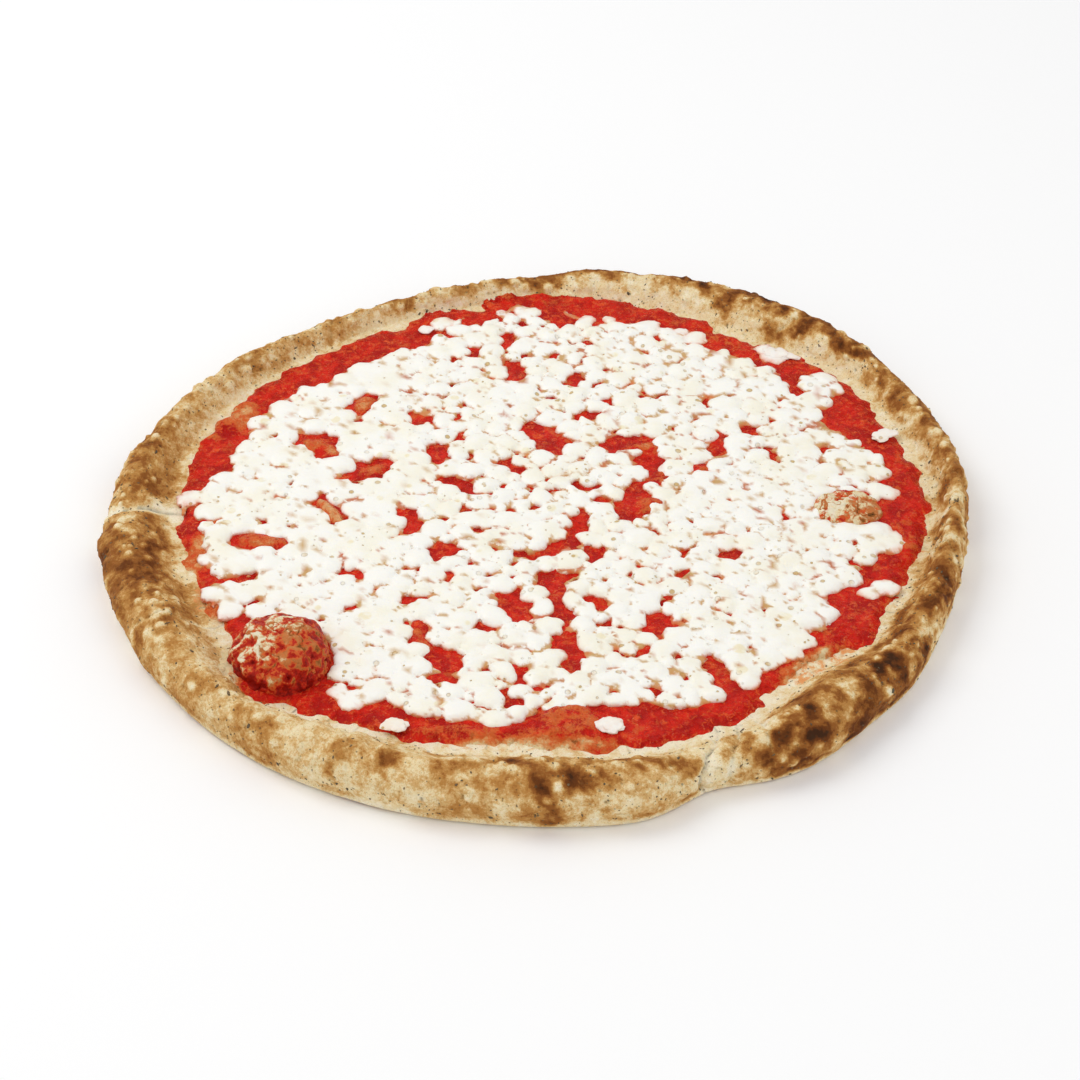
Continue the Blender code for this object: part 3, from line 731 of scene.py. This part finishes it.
def respace(sections):
    """The sections at RIM_ANGLES angles, each with RIM_RINGS points the same distance apart."""
    places = np.arange(RIM_ANGLES) * COARSE_ANGLES / RIM_ANGLES
    first = places.astype(int) % COARSE_ANGLES
    share = (places - places.astype(int))[:, None, None]
    sections = sections[first] * (1 - share) + sections[(first + 1) % COARSE_ANGLES] * share
    steps = np.linalg.norm(np.diff(sections, axis=1), axis=2)
    along = np.concatenate([np.zeros((RIM_ANGLES, 1)), np.cumsum(steps, axis=1)], axis=1)
    even = np.zeros((RIM_ANGLES, RIM_RINGS, 2))
    for index in range(RIM_ANGLES):
        wanted = np.linspace(0, along[index, -1], RIM_RINGS)
        for axis in range(2):
            even[index, :, axis] = np.interp(wanted, along[index], sections[index, :, axis])
    return even


def surface_normals(points):
    """Outward unit normals of a grid of points, angles by rings, closed round the angles."""
    round_way = np.roll(points, -1, axis=0) - np.roll(points, 1, axis=0)
    over_way = np.gradient(points, axis=1)
    normals = np.cross(over_way, round_way)
    return normals / (np.linalg.norm(normals, axis=2, keepdims=True) + 1e-9)


def patch_strength(x, y, patches):
    """The sum of soft oval patches at places in mm."""
    total = np.zeros_like(x)
    for patch in patches:
        total += patch[5] * np.exp(-np.clip(oval_distance(x, y, patch) / 3.0 + 0.75, 0, None) ** 2)
    return total


def fold_lines(points, angles, share):
    """How deep the rim's folds press at every point, in mm, how pale they leave it, and their cracks,
    whose dark lines are partly painted shade in the folds.
    """
    radius = np.hypot(points[..., 0], points[..., 1])
    deep, pale, crack_and_fold_shade = (np.zeros_like(radius) for _ in range(3))
    torn = ease(-0.25, 0.25, gradient_noise(share * 9, angles * 8, angles * 0, 72))
    wobble = gradient_noise(share * 6, angles * 3, angles * 0, 71) * 0.8
    for inner, outer, width, depth, paleness in RIM_FOLDS:
        line = np.radians(inner + (outer - inner) * share)
        away = (angles - line + math.pi) % math.tau - math.pi
        across = away * radius + wobble
        deep += depth * np.exp(-((across / width) ** 2)) * ease(0.02, 0.2, share)
        pale += paleness * np.exp(-((across / (1.7 * width)) ** 2))
        # Thin dark crack lines at each fold's middle: partly the cracks' own colour, partly painted shade
        # in the folds.
        crack_and_fold_shade = np.maximum(crack_and_fold_shade, torn * min(depth, 1.0) * np.exp(-((across / (0.32 * width)) ** 2)))
    return deep + 0.5 * crack_and_fold_shade, pale, crack_and_fold_shade


def bubble_field(points):
    """Small round bubbles scattered over the rim: 1 at a bubble's middle, falling to 0 at its edge."""
    rng = np.random.default_rng(5)
    total = np.zeros(points.shape[:2])
    chosen = rng.integers((0, RIM_RINGS // 6), (RIM_ANGLES, RIM_RINGS * 3 // 4), size=(RIM_BUBBLES, 2))
    for i, j in chosen:
        size = rng.uniform(*BUBBLE_RADII)
        window = np.arange(i - 8, i + 9) % RIM_ANGLES
        near = np.linalg.norm(points[window] - points[i, j], axis=2) / size
        total[window] = np.maximum(total[window], np.clip(1 - near ** 2, 0, None))
    return total


def make_dough(material):
    """The crust: the solid's section, finely divided, with lumps, folds, bubbles and fine pores."""
    sections = rim_section(tree_of(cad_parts["crust"]))
    angles = (np.arange(RIM_ANGLES) * math.tau / RIM_ANGLES)[:, None] * np.ones((1, RIM_RINGS))
    radius, height = sections[..., 0], sections[..., 1]
    points = np.stack([radius * np.cos(angles), radius * np.sin(angles), height], axis=2)
    normals = surface_normals(points)
    x, y, z = (points[..., i] for i in range(3))
    noise = partial(fractal, x, y, z)
    share = np.clip((radius - radius[:, :1]) / (radius.max(axis=1, keepdims=True) - radius[:, :1]), 0, 1)
    free = ease(0.4, 3.0, z)
    over = np.linspace(0, 1, RIM_RINGS) * SECTION_LENGTH
    ridges = (RIM_RADIUS * np.cos(angles), RIM_RADIUS * np.sin(angles), over * 0.4)
    push = 0.8 * noise(24, 11, 2) + 0.8 * fractal(*ridges, 11, 12, 2)
    push += 0.42 * noise(4.8, 13, 3) - 0.85
    bubbles = bubble_field(points)
    push += 0.85 * bubbles
    pores = ease(0.48, 0.80, gradient_noise(x / 1.6, y / 1.6, z / 1.6, 15))
    pores *= 0.4 + 0.9 * ease(0.0, 0.5, noise(12, 16, 2))
    push -= 0.65 * pores
    deep, pale, cracks = fold_lines(points, angles, share)
    push -= deep
    points += normals * (push * free * ease(0.0, 0.10, share))[..., None]
    low, high = (np.array(corner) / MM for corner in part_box("crust"))
    points = np.clip(points, low, high)
    obj = close_dough(points, material)
    reach = np.hypot(points[..., 0], points[..., 1])
    paint_dough(obj, reach[:, 0], reach.max(axis=1), on_all_rings(bubbles), on_all_rings(pale))
    # The pores attribute also holds the folds' crack lines, partly painted shade.
    add_attribute(obj, "pores", on_all_rings(np.maximum(pores, cracks)))
    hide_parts("crust")
    return obj


def on_all_rings(values):
    """Values of the rim's points, angles by rings, as one value for each point of the whole dough."""
    inner = np.zeros(len(INNER_SHARES) * RIM_ANGLES)
    base = np.zeros(len(BASE_SHARES) * RIM_ANGLES + 2)
    return np.concatenate([inner, values.T.ravel(), base])


def close_dough(points, material):
    """Joins the rim's grid to rings across the well and the base, each closed by a middle point."""
    inner = [points[:, 0] * (share, share, 0) + (0, 0, WELL_FLOOR) for share in INNER_SHARES]
    base = [points[:, -1] * (share, share, 0) for share in BASE_SHARES]
    rings = inner + [points[:, ring] for ring in range(RIM_RINGS)] + base
    count = len(rings)
    all_points = np.concatenate(rings + [[[0, 0, WELL_FLOOR], [0, 0, 0]]])
    middle_top, middle_base = count * RIM_ANGLES, count * RIM_ANGLES + 1
    step = np.arange(RIM_ANGLES)
    following = (step + 1) % RIM_ANGLES
    faces = []
    for low in range(0, (count - 1) * RIM_ANGLES, RIM_ANGLES):
        high = low + RIM_ANGLES
        quads = np.stack([low + step, high + step, high + following, low + following], axis=1)
        faces += quads.tolist()
    last = (count - 1) * RIM_ANGLES
    pairs = np.stack([step, following], axis=1).tolist()
    faces += [(middle_top, a, b) for a, b in pairs]
    faces += [(middle_base, last + b, last + a) for a, b in pairs]
    return make_object("dough_skin", all_points, faces, material)


def vertex_places(obj):
    """The x, y and z in mm of a piece's points."""
    places = np.zeros(len(obj.data.vertices) * 3)
    obj.data.vertices.foreach_get("co", places)
    return places.reshape(-1, 3).T / MM


def paint_dough(obj, foot, outline, bubbles, pale):
    """Stores how browned the dough is, and how stained by sauce, at every point. The foot and the
    outline are the rim's inner and outer radius at every angle."""
    x, y, z = vertex_places(obj)
    noise = partial(fractal, x, y, z)
    angle = np.arctan2(y, x)
    degrees = np.degrees(angle)
    bearing = degrees % 360
    index = (angle / math.tau * RIM_ANGLES).round().astype(int) % RIM_ANGLES
    radius = np.hypot(x, y)
    share = (radius - foot[index]) / (outline[index] - foot[index])
    zone = np.full_like(x, BROWN_LEAST)
    for middle, spread, strength in BROWN_ZONES:
        away = (degrees - middle + 180) % 360 - 180
        zone += strength * np.exp(-((away / spread) ** 2))
    left = ease(110, 150, bearing) * ease(262, 225, bearing)
    back = ease(15, 45, bearing) * ease(150, 125, bearing)
    front = ease(60, 25, np.abs(degrees + 95))
    clouds = noise(15, 31, 4)
    mottle = noise(5.5, 32, 4)
    outward = share + 0.10 * clouds + 0.08 * mottle
    crown = ease(0.04 - 0.14 * left + 0.16 * back, 0.40 - 0.28 * left + 0.18 * back, outward)
    crown *= ease(0.5, 5.0, z)
    warp_x, warp_y = 3.2 * noise(9, 33, 3), 3.2 * noise(9, 34, 3)
    patches = patch_strength(x + warp_x, y + warp_y, BROWN_PATCHES)
    browning = zone * crown * (1.0 + (1.1 - 0.4 * left) * clouds + (0.8 - 0.3 * left) * mottle)
    browning += (0.44 - 0.12 * left) * patches * (0.9 + 0.7 * mottle) * ease(0.5, 4.0, z)
    browning += 0.10 * left * ease(0.10, 0.35, share)
    browning += 0.14 * clouds + 0.07 * mottle + 0.01
    browning -= 0.52 * bubbles * ease(0.05, 0.45, browning) + 0.45 * pale
    browning -= (0.10 + 0.34 * front) * ease(0.20, 0.02, share) * (0.6 + 1.2 * mottle)
    browning -= 0.12 * ease(4.0, 1.0, z)
    below = (z < 0.5) & (share < 1)
    spotty = fractal(x[below], y[below], z[below], 22, 35, 4)
    browning[below] = 0.26 + 0.75 * np.clip(spotty, -0.3, 1)
    add_attribute(obj, "browning", browning)
    add_attribute(obj, "smear", smear_share(x, y, z))


def smear_share(x, y, z):
    """Sauce wiped thinly on the front of the rim, round the bumps near the sauce's edge."""
    smear = np.zeros_like(x)
    for patch in SAUCE_BUMPS:
        if patch[1] < 0 and math.hypot(patch[0], patch[1]) > 100:
            smear = np.maximum(smear, 0.38 * np.exp(-np.clip(oval_distance(x, y, patch), 0, None) / 2.5))
    return smear * (z > 3)


# The sauce.


def make_sauce(material, ground):
    """A lumpy layer over the well's floor, its edge thinning out on the rim's slope."""
    x, y = field_axes()
    noise = partial(flat_noise, x, y)
    plan = ~np.isnan(drop_rays(tree_of(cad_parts["tomato_sauce"]), x, y))
    for oval in BLISTERS.values():
        plan |= oval_distance(x, y, oval) < 2
    for oval in SAUCE_CLIMBS:
        plan |= oval_distance(x, y, oval) < 0
    depth = depth_inside(x, y, plan)
    depth += 2.6 * noise(10, 41, 3) + 0.5 * noise(3.6, 42) + 1.0
    lumps = 0.55 * noise(6.5, 43, 3) + 0.55 * np.abs(noise(2.8, 44))
    full = SAUCE_LEVEL - WELL_FLOOR
    cover = full * ease(-1.0, 4.5, depth) + lumps * ease(0.0, 3.0, depth) - 0.25
    cover = np.where(depth > -1.5, cover, -1.0)
    thin = 0.30 * ease(2.0, 0.0, depth) + 0.12 * noise(12, 46)
    for place in THIN_SAUCE:
        along, across = turned(x, y, math.radians(place[4]))
        streaks = 1 + 0.60 * flat_noise(along * 0.28, across, 2.4, 47)
        thin += place[5] * streaks * ease(2.0, -4.0, oval_distance(x, y, place))
    top = np.maximum(ground, WELL_FLOOR) + cover
    for bump in SAUCE_BUMPS:
        inside = ease(1.0, -2.2, oval_distance(x, y, bump))
        top += inside * bump[5] * (1 + 0.25 * noise(4, 45)) * (cover > 0)
        thin = np.maximum(thin, bump[6] * inside)
    bottom = np.maximum(ground - SAUCE_ROOT, LOWEST_SAUCE)
    top = np.where(cover > -0.6, top, bottom - 1)
    points, faces = solid_between(bottom, top)
    obj = make_object("sauce_layer", points, faces, material)
    px, py, _ = vertex_places(obj)
    add_attribute(obj, "thin", look_up(thin, px, py))
    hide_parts("tomato_sauce")


# The mozzarella.


def place_dice(depth, opening):
    """Middles and radii of the melted dice, packed inside the sheet's plan and clear of its gaps."""
    rng = np.random.default_rng(20)
    near = {}
    chosen = []
    for size, spacing, edge_share, tries in DICE_PASSES:
        for px, py, share in rng.uniform((-1, -1, 0.86), (1, 1, 1.14), size=(tries, 3)):
            px, py, radius = px * DICE_REACH, py * DICE_REACH, size * share
            if look_up(depth, px, py) < edge_share * radius or look_up(opening, px, py) < 0.55 * radius:
                continue
            i, j = int(px // LARGEST_DICE), int(py // LARGEST_DICE)
            rivals = (other for a in (-2, -1, 0, 1, 2) for b in (-2, -1, 0, 1, 2)
                      for other in near.get((i + a, j + b), ()))
            if any(math.hypot(px - ox, py - oy) < spacing * (radius + other) for ox, oy, other in rivals):
                continue
            near.setdefault((i, j), []).append((px, py, radius))
            chosen.append((px, py, radius))
    return chosen


def melt_dice(dice, x, y):
    """The height of the merged dice above the sauce, and how near each place is to a seam."""
    rng = np.random.default_rng(21)
    noise = partial(flat_noise, x, y)
    power_sum = np.zeros(x.shape)
    best, second = np.zeros(x.shape), np.zeros(x.shape)
    half = (x.shape[0] - 1) // 2
    spread = 1.02 + 0.06 * ease(-30, -60, x) + 0.06 * ease(45, 70, x)
    spread -= 0.06 * noise(30, 53)
    bent_x = x + 1.5 * noise(6.5, 61, 3)
    bent_y = y + 1.5 * noise(6.5, 64, 3)
    for px, py, radius in dice:
        stretch, turn = rng.uniform(1.0, 1.3), rng.uniform(0, math.pi)
        tall = DICE_HEIGHT * (0.60 + 0.40 * radius / LARGEST_DICE) * rng.uniform(0.80, 1.12)
        size = radius * look_up(spread, px, py)
        span = int((size * stretch + 1.5) / CELL) + 2
        i, j = int(round(px / CELL)) + half, int(round(py / CELL)) + half
        window = (slice(i - span, i + span + 1), slice(j - span, j + span + 1))
        dx, dy = bent_x[window] - px, bent_y[window] - py
        along, across = turned(dx, dy, turn)
        away = ((along / stretch) ** 2 + (across * math.sqrt(stretch)) ** 2) / size ** 2
        rise = tall * np.clip(1 - away ** 1.2, 0, None) ** 0.62
        power_sum[window] += rise ** 8
        second[window] = np.maximum(second[window], np.minimum(best[window], rise))
        best[window] = np.maximum(best[window], rise)
    return power_sum ** (1 / 8), second / np.maximum(best, 0.01)


def cheese_rise(x, y, depth):
    """The mozzarella's height above the sauce, and how near each place is to a seam between dice."""
    noise = partial(flat_noise, x, y)
    warp_x, warp_y = 1.3 * noise(6, 54), 1.3 * noise(6, 55)
    flat = ease(2.0, -3.0, depth)
    for tongue in CHEESE_TONGUES:
        depth = np.maximum(depth, -oval_distance(x + 2 * warp_x, y + 2 * warp_y, tongue))
    opening = np.full(x.shape, 9.0)
    for gap in SMALL_GAPS:
        opening = np.minimum(opening, oval_distance(x + warp_x, y + warp_y, gap) + 0.5)
    dice_rise, seam = melt_dice(place_dice(depth, opening), x, y)
    ragged = noise(4.5, 56)
    fill = ease(0.8, 2.8, depth + 1.6 * ragged) * ease(0.1, 1.2, opening + 0.6 * ragged)
    fill *= 0.95 + 0.5 * noise(9, 57)
    closed = 0.16 * ease(15, 50, x) + 0.10 * ease(-35, -60, x)
    fill *= ease(-0.26, -0.06, noise(5.5, 58) + closed)
    rise = (dice_rise ** 6 + fill ** 6) ** (1 / 6)
    seam = np.maximum(seam, ease(1.3, 0.5, dice_rise))
    soften = 0.45 * ease(-30, -60, x)
    soften += 0.32 * ease(-0.05, 0.35, noise(26, 59))
    soften = np.minimum(soften, 0.70) * ease(0.5, 3.5, depth)
    smooth_rise = blurred(rise, 3)
    rise = np.where(rise > 0.8, rise * (1 - soften) + np.maximum(smooth_rise, 0.8) * soften, rise)
    rise += 0.22 * noise(3.0, 51) * ease(0.2, 0.8, rise)
    rise += 0.30 * noise(18, 52) * ease(0.6, 1.4, rise)
    rise *= 1 - 0.45 * flat
    return rise, seam - 0.16 * soften


def make_cheese(material, ground):
    """The sheet of melted dice over the sauce, with the seams and thin places marked."""
    x, y = field_axes()
    plan = ~np.isnan(drop_rays(tree_of(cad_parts["mozzarella"]), x, y))
    rise, seam = cheese_rise(x, y, depth_inside(x, y, plan) + 0.4)
    level = np.maximum(SAUCE_LEVEL, blurred(ground, 2) + 0.4)
    top = np.where(rise > 0.05, level + rise - 0.25, 0.0)
    bottom = level - CHEESE_ROOT
    points, faces = solid_between(bottom, top)
    obj = make_object("mozzarella_melt", points, faces, material)
    px, py, pz = vertex_places(obj)
    add_attribute(obj, "crease", ease(0.62, 0.90, look_up(seam, px, py)))
    add_attribute(obj, "thin", ease(0.9, 0.0, pz - look_up(level, px, py)))
    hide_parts("mozzarella")


def blurred(field, radius):
    """The field's mean over a square window, twice."""
    for _ in range(2):
        for axis in (0, 1):
            total = sum(np.roll(field, step, axis) for step in range(-radius, radius + 1))
            field = total / (2 * radius + 1)
    return field


def make_loose_pieces(material):
    """The small pieces apart from the sheet: low lumpy pads in place of the solids."""
    names = sorted(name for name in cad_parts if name.startswith("mozzarella_piece"))
    for number, name in enumerate(names):
        points, faces = ball(5)
        low, high = (np.array(corner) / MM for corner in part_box(name))
        middle, half = (low + high) / 2, (high - low) / 2
        tree = tree_of(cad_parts[name])
        start = Vector(middle * MM)
        for index, way in enumerate(points * half / half.max()):
            hit = tree.ray_cast(start, Vector(way).normalized())[0]
            points[index] = np.array(hit) / MM if hit else middle
        lump = fractal(*(points.T + number * 40.0), 4.5, 60, 3)
        points = middle + (points - middle) * (1.02 + 0.42 * lump)[:, None]
        points[:, 2] = low[2] + (points[:, 2] - low[2]) * 0.42
        obj = make_object(f"mozzarella_bit_{number + 1}", points, faces, material)
        add_attribute(obj, "crease", np.zeros(len(points)))
        add_attribute(obj, "thin", ease(high[2], low[2], points[:, 2]) * 0.25)
        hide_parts(name)


# The blisters, and the flakes of bran.


def make_blister(name, material):
    """A dome over the solid blister, puffed and cracked, streaked with sauce, with painted shade on its
    right side and painted light on its top.
    """
    x0, y0, length, width, direction, film, tan = BLISTERS[name]
    tree = tree_of(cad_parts["crust"])
    peak = drop_rays(tree, np.array([x0]), np.array([y0]))[0]
    unit, faces = ball(7)
    around = np.hypot(unit[:, 0], unit[:, 1])
    swell = around ** BLISTER_SQUARENESS + np.abs(unit[:, 2]) ** BLISTER_SQUARENESS
    unit *= swell[:, None] ** (-1 / BLISTER_SQUARENESS)
    turn = math.radians(direction)
    size = math.sqrt(length * width) / BLISTER_SIZE
    rise = np.where(unit[:, 2] > 0, peak - WELL_FLOOR - 0.9 * size, 3.0)
    along, across = unit[:, 0] * length, unit[:, 1] * width
    x = x0 + along * math.cos(turn) - across * math.sin(turn)
    y = y0 + along * math.sin(turn) + across * math.cos(turn)
    z = WELL_FLOOR + unit[:, 2] * rise
    normals = unit / np.stack([np.full(len(unit), length), np.full(len(unit), width), rise], axis=1)
    normals /= np.linalg.norm(normals, axis=1, keepdims=True)
    way = np.stack([*turned(normals[:, 0], normals[:, 1], -turn), normals[:, 2]], axis=1)
    bearing = np.arctan2(y - y0, x - x0)
    lumps = fractal(x, y, z, 9 * size, 81, 2)
    knobs = fractal(x, y, z, 4.4, 82, 2)
    crack_noise = fractal(x, y, z * 0.5, 11.0, 84, 3)
    cracks = ease(0.05, 0.0, np.abs(crack_noise))
    pits = ease(0.34, 0.62, gradient_noise(x / 2.6, y / 2.6, z / 2.6, 86))
    push = 1.3 * lumps + 0.7 * knobs - 0.6 * cracks - 0.6 * pits - 0.4
    push *= size * ease(-0.2, 0.2, unit[:, 2])
    points = np.stack([x, y, z], axis=1) + way * push[:, None]
    points[:, 2] = np.minimum(points[:, 2], CRUST_TOP)
    obj = make_object(f"blister_{name}", points, faces, material)
    # The top is paler, partly as painted light and partly under thinner sauce. The right side, away from
    # the key lamp, is darker as painted shade.
    lit_cap = ease(0.62, 0.95, unit[:, 2] + 0.12 * lumps + 0.20 * unit[:, 1])
    shaded_right_side = ease(0.0, 0.9, np.cos(bearing + 0.5))
    low = ease(0.6, 0.1, unit[:, 2])
    front = ease(-0.2, 0.8, np.cos(bearing + 1.9))
    # Browning with painted shade and light: darker on the right side and paler on the top, besides the
    # darker pits and cracks.
    browning = tan + 0.34 * shaded_right_side * size + 0.5 * pits + 0.5 * cracks - 0.25 * knobs - 0.20 * lit_cap
    add_attribute(obj, "browning", browning)
    wet = film + 0.35 * front * low + 0.20 * low - 0.34 * lit_cap - 0.16 * shaded_right_side + 0.2 * pits - 0.3 * knobs
    add_attribute(obj, "film", wet)


def make_flecks(material, dough):
    """Dark flakes of bran baked into the rim, a few of them standing proud of its outline."""
    rng = np.random.default_rng(90)
    first = len(INNER_SHARES)
    points = np.stack(vertex_places(dough), axis=1)[first * RIM_ANGLES : (first + RIM_RINGS) * RIM_ANGLES]
    normals = surface_normals(points.reshape(RIM_RINGS, RIM_ANGLES, 3).transpose(1, 0, 2))
    normals = normals.transpose(1, 0, 2).reshape(-1, 3)
    density = 0.5 + fractal(*points.T, 16, 91, 2) + 0.5 * ease(17, 10, points[:, 2])
    unit, unit_faces = ball(1)
    all_points, all_faces = [], []
    for index in rng.integers(0, len(points), size=FLECKS):
        if points[index, 2] < 1.5 or density[index] < rng.uniform(0, 1.2):
            continue
        normal = normals[index]
        side = np.cross(normal, rng.normal(size=3))
        side /= np.linalg.norm(side)
        other = np.cross(normal, side)
        length = rng.uniform(0.25, 0.55) if rng.random() < 0.93 else rng.uniform(0.6, 0.95)
        width = length * rng.uniform(0.4, 0.7)
        flake = unit * (length, width, 0.22) * (1 + 0.25 * rng.normal(size=(len(unit), 1)))
        all_faces.append(np.array(unit_faces) + len(unit) * len(all_points))
        all_points.append(points[index] + flake @ np.stack([side, other, normal]))
    points, faces = np.concatenate(all_points), np.concatenate(all_faces).tolist()
    make_object("bran_flecks", points, faces, material)


# The stage.


def floor_material():
    """Dull white, with a hardly visible change in it from place to place."""
    nodes = Nodes("floor")
    shade = nodes.mix(nodes.noise(900), FLOOR_WHITE, FLOOR_WHITER)
    nodes.put(nodes.shader.inputs["Base Color"], shade)
    nodes.put(nodes.shader.inputs["Roughness"], 0.9)
    return nodes.material


def make_stage():
    """A plain white floor, even white light from all round, and two soft lamps."""
    mesh = bpy.data.meshes.new("floor")
    corners = [(-1, -1), (1, -1), (1, 1), (-1, 1)]
    mesh.from_pydata([(x * FLOOR_HALF, y * FLOOR_HALF, FLOOR_LEVEL) for x, y in corners], [], [range(4)])
    mesh.materials.append(floor_material())
    new_object("floor", mesh)
    world = bpy.data.worlds.new("studio")
    world.use_nodes = True
    background = world.node_tree.nodes["Background"]
    background.inputs["Color"].default_value = (1, 1, 1, 1)
    background.inputs["Strength"].default_value = WORLD_STRENGTH
    bpy.context.scene.world = world
    for name, place, power, width in LAMPS:
        data = bpy.data.lights.new(name, "AREA")
        data.energy, data.size = power, width
        aim(new_object(name, data), Vector(place), -Vector(place))


def aim(obj, place, way):
    """Stands a lamp or camera at a place, looking along a way."""
    obj.location = place
    obj.rotation_euler = way.to_track_quat("-Z", "Y").to_euler()


def make_camera():
    """The camera of the photographed view, in front of the pizza and above it."""
    data = bpy.data.cameras.new("camera")
    data.lens, data.sensor_width = LENS, SENSOR_WIDTH
    slope = math.radians(CAMERA_ELEVATION)
    away = Vector((0, -math.cos(slope), math.sin(slope)))
    camera = new_object("camera", data)
    aim(camera, CAMERA_TARGET + away * CAMERA_DISTANCE, -away)
    bpy.context.scene.camera = camera
    bpy.context.scene.view_settings.view_transform = "Standard"


def main():
    make_camera()
    make_stage()
    dough = make_dough(dough_material())
    ground = well_ground(*field_axes(), dough)
    make_sauce(sauce_material(), ground)
    cheese = cheese_material()
    make_cheese(cheese, ground)
    make_loose_pieces(cheese)
    blister_dough = blister_material()
    for name in BLISTERS:
        make_blister(name, blister_dough)
    make_flecks(fleck_material(), dough)


main()
